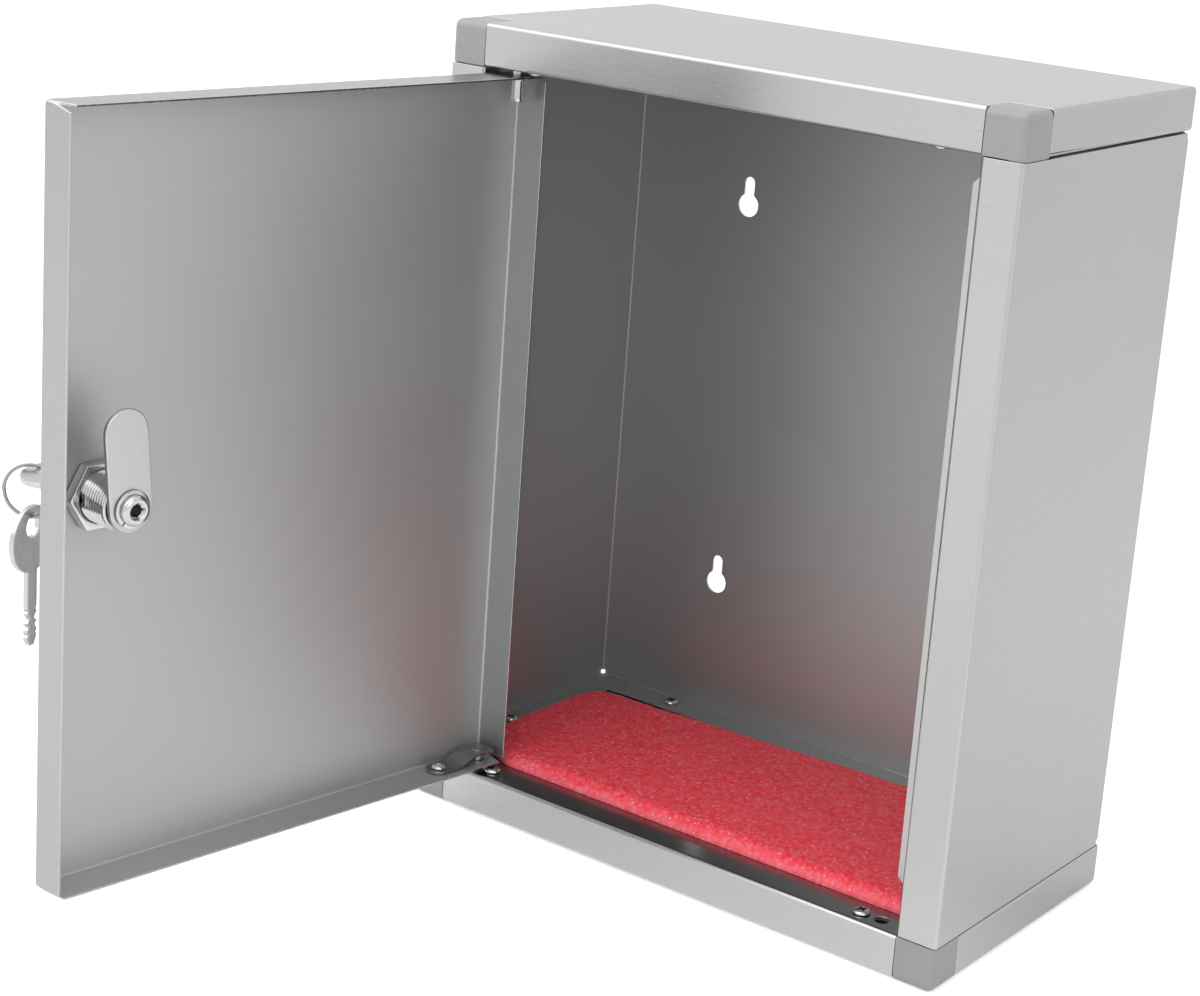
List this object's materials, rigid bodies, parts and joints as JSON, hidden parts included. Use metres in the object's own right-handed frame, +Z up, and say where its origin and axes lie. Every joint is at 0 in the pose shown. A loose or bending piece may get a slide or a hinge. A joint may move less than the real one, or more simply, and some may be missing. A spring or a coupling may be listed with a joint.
{
  "type": "wall cabinet",
  "caption": "Lockable wall cabinet folded from brushed stainless sheet, with a hinged tray door, cam lock with keys, moulded corner caps and a foam floor pad.",
  "frame": {"origin": "centre of the underside of the bottom pan, under the middle of the cabinet body", "axes": "+Z up, +Y from the door towards the wall, +X to the right of someone who faces the door"},
  "size_m": [0.2981, 0.3252, 0.3206],
  "materials": {
    "sheet": "brushed stainless sheet",
    "door_sheet": "brushed stainless sheet",
    "cap_plastic": "fine matt moulded plastic",
    "foam": "closed-cell packing foam with a sparkling skin",
    "screw_plate": "bright plated",
    "hinge_steel": "plain rolled steel",
    "lock_chrome": "bright plated",
    "cam_plate": "satin plate with eased edges",
    "lock_brass": "turned brass",
    "key_nickel": "satin nickel",
    "ring_chrome": "bright nickel wire"
  },
  "bodies": {
    "cabinet": {"body_shell": "sheet", "bottom_pan": "sheet", "top_cover": "sheet", "bottom_cap_left": "cap_plastic", "bottom_cap_right": "cap_plastic", "top_cap_left": "cap_plastic", "top_cap_right": "cap_plastic", "foam_pad": "foam", "floor_screw_front_left": "screw_plate", "floor_screw_front_right": "screw_plate", "floor_screw_left": "screw_plate", "floor_screw_right": "screw_plate", "floor_screw_back_left": "screw_plate", "floor_screw_back_right": "screw_plate", "roof_screw_front_left": "screw_plate", "roof_screw_front_right": "screw_plate", "roof_screw_left": "screw_plate", "roof_screw_right": "screw_plate", "roof_screw_back_left": "screw_plate", "roof_screw_back_right": "screw_plate"},
    "door_leaf": {"door": "door_sheet", "top_hinge_pin": "hinge_steel", "bottom_hinge_strap": "hinge_steel", "bottom_hinge_pin": "hinge_steel", "strap_rivet": "screw_plate", "lock_barrel": "lock_chrome", "lock_nut": "lock_chrome"},
    "lock_core": {"lock_plug": "lock_brass", "lock_cam": "cam_plate", "cam_washer": "lock_chrome", "cam_screw": "lock_chrome", "lock_wafer_1": "lock_brass", "lock_wafer_2": "lock_brass", "lock_wafer_3": "lock_brass", "lock_wafer_4": "lock_brass"},
    "key": {"lock_key": "key_nickel"},
    "ring": {"key_ring": "ring_chrome"},
    "spare": {"spare_key": "key_nickel"}
  },
  "joints": [
    {"name": "door_swing", "type": "hinge", "parent": "cabinet", "child": "door_leaf", "pos_m": [-0.0977, -0.0563, 0.0171], "axis": [0, 0, 1], "range_deg": [-8, 98]},
    {"name": "lock_turn", "type": "hinge", "parent": "door_leaf", "child": "lock_core", "pos_m": [-0.13063, -0.23526, 0.1621], "axis": [0.9903, -0.1392, 0], "range_deg": [-5, 85]},
    {"name": "key_slide", "type": "slide", "parent": "lock_core", "child": "key", "axis": [-0.9903, 0.1392, 0], "range_m": [0, 0.022]},
    {"name": "ring_hang", "type": "hinge", "parent": "key", "child": "ring", "pos_m": [-0.13063, -0.23526, 0.1621], "axis": [0.9903, -0.1392, 0], "range_deg": [-85, 5]},
    {"name": "spare_swing", "type": "hinge", "parent": "ring", "child": "spare", "pos_m": [-0.16428, -0.23481, 0.1444], "axis": [-0.809, -0.5878, 0], "range_deg": [-20, 20]}
  ],
  "couplings": [
    {"joint": "ring_hang", "follows": "lock_turn", "ratio": -1}
  ]
}
